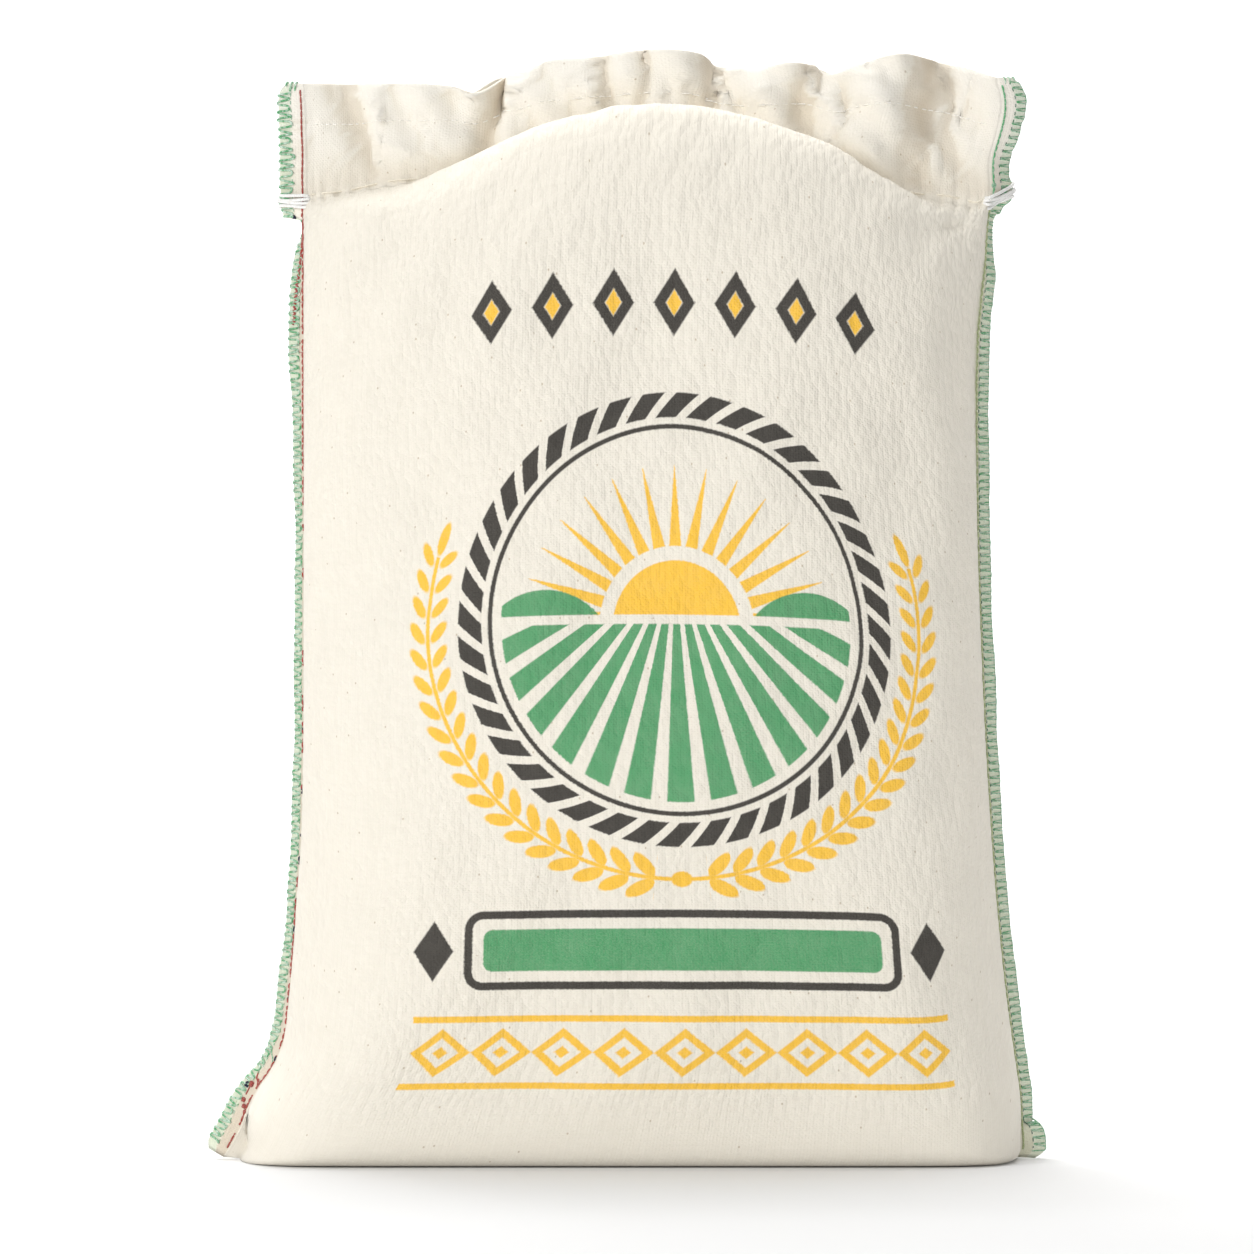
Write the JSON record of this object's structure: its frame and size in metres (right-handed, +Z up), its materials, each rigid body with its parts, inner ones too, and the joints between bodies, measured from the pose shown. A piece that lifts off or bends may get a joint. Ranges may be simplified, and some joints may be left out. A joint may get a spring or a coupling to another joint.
{
  "type": "cotton sack of rice",
  "caption": "Upright cotton sack filled with rice, sewn shut below its open frilled mouth, with overlocked seam allowances down both sides.",
  "frame": {"origin": "on the floor, under the middle of the whole sack with its seam allowances", "axes": "+Z up, +X to the right as seen from the printed front, +Y to the plain back"},
  "size_m": [0.3798, 0.121, 0.5012],
  "materials": {
    "cotton": "unbleached woven cotton, printed on the front",
    "green_thread": "spun sewing thread",
    "red_thread": "spun sewing thread",
    "white_thread": "soft cotton string"
  },
  "bodies": {
    "root": {"sack": "cotton", "edging_left": "green_thread", "edging_right": "green_thread", "side_stitch_left": "red_thread", "side_stitch_right": "green_thread", "closing_string": "white_thread", "hem_stitch_front": "white_thread", "hem_stitch_back": "white_thread"}
  },
  "joints": []
}
